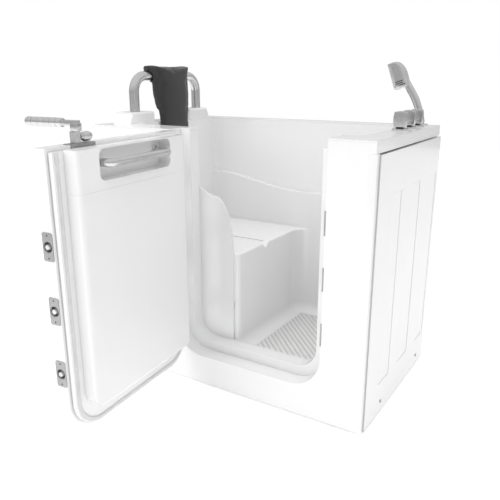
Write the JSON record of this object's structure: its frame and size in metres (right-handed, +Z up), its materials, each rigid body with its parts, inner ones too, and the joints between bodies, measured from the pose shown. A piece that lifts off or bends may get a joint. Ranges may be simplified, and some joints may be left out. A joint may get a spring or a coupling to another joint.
{
  "type": "walk-in bathtub with door",
  "caption": "White walk-in bath with a seat, an outward-opening sealed door with lever latch, deck taps, hand shower and a padded headrest on a chrome rail",
  "frame": {"origin": "underside of the middle levelling foot, on the floor under the middle of the tub", "axes": "+X along the tub to the tap end, +Y from the door side to the back, +Z up; the door stands open 85 degrees"},
  "size_m": [1.145, 1.305, 1.1938],
  "materials": {
    "acrylic": "glossy white",
    "chrome": "polished",
    "steel": "satin",
    "dark_rubber": "matt",
    "dark_plastic": "matt",
    "pale_plastic": "matt"
  },
  "bodies": {
    "tub": {"deck": "acrylic", "front_shell": "acrylic", "basin_well": "acrylic", "grip_bars": "acrylic", "side_panel": "acrylic", "panel_screws": "steel", "frame_uprights": "steel", "frame_long_rails": "steel", "frame_cross_rails": "steel", "levelling_feet": "dark_rubber", "foot_nuts": "steel", "head_rail": "chrome", "rail_nuts": "steel", "headrest": "dark_rubber", "strike_plates": "steel", "strike_screws": "steel", "hinge_tub_leaves": "chrome", "hinge_tub_screws": "steel", "hinge_pins": "steel", "drain_body": "steel", "overflow_body": "steel", "overflow_pipe": "pale_plastic", "tap_escutcheons": "chrome", "valve_bodies": "steel", "valve_nuts": "steel", "filler_spout": "chrome", "shower_cradle": "chrome"},
    "door": {"door_slab": "acrylic", "door_flange": "acrylic", "inner_panel": "acrylic", "panel_cap": "acrylic", "door_seal": "acrylic", "seal_block": "pale_plastic", "grab_bar": "chrome", "bar_posts": "chrome", "latch_plates": "steel", "latch_screws": "steel", "bolt_guides": "dark_plastic", "lever_plate": "chrome", "lever_plate_screws": "steel", "lever_bearing": "chrome", "hinge_door_leaves": "chrome", "hinge_door_screws": "steel"},
    "lever": {"lever_arm": "chrome", "lever_grip": "chrome"},
    "knob": {"friction_knob": "chrome"},
    "bolts": {"latch_carrier": "steel", "latch_bolts": "chrome"},
    "hot": {"hot_handle": "chrome"},
    "cold": {"cold_handle": "chrome"},
    "diverter": {"diverter_handle": "chrome"},
    "handset": {"hand_shower": "chrome", "shower_face": "dark_plastic"},
    "overflow_control": {"overflow_knob": "chrome"},
    "plug": {"drain_plug": "chrome"}
  },
  "joints": [
    {"name": "door_swing", "type": "hinge", "parent": "tub", "child": "door", "pos_m": [-0.2055, -0.3645, 0.545], "axis": [0, 0, 1], "range_deg": [-20, 85]},
    {"name": "lever_turn", "type": "hinge", "parent": "door", "child": "lever", "pos_m": [-0.10797, -0.8368, 1], "axis": [0, 0, 1], "range_deg": [0, 90]},
    {"name": "bolt_slide", "type": "slide", "parent": "door", "child": "bolts", "axis": [0.0872, -0.9962, 0], "range_m": [0, 0.0142]},
    {"name": "knob_turn", "type": "hinge", "parent": "door", "child": "knob", "pos_m": [-0.10611, -0.82358, 0.9825], "axis": [-0.0872, 0.9962, 0], "range_deg": [0, 120]},
    {"name": "hot_turn", "type": "hinge", "parent": "tub", "child": "hot", "pos_m": [0.5045, 0.0435, 1], "axis": [0, 0, 1], "range_deg": [0, 90]},
    {"name": "cold_turn", "type": "hinge", "parent": "tub", "child": "cold", "pos_m": [0.5045, 0.1375, 1], "axis": [0, 0, 1], "range_deg": [-90, 0]},
    {"name": "diverter_turn", "type": "hinge", "parent": "tub", "child": "diverter", "pos_m": [0.5045, 0.2315, 1], "axis": [0, 0, 1], "range_deg": [0, 90]},
    {"name": "shower_lift", "type": "slide", "parent": "tub", "child": "handset", "axis": [-0.309, 0, 0.9511], "range_m": [0, 0.12]},
    {"name": "overflow_turn", "type": "hinge", "parent": "tub", "child": "overflow_control", "pos_m": [0.4675, 0.0905, 0.8], "axis": [-1, 0, 0], "range_deg": [0, 90]},
    {"name": "plug_lift", "type": "slide", "parent": "tub", "child": "plug", "axis": [0, 0, 1], "range_m": [0, 0.00905]}
  ],
  "couplings": [
    {"joint": "bolt_slide", "follows": "lever_turn", "m_per_rad": 0.009},
    {"joint": "plug_lift", "follows": "overflow_turn", "m_per_rad": 0.00573}
  ]
}
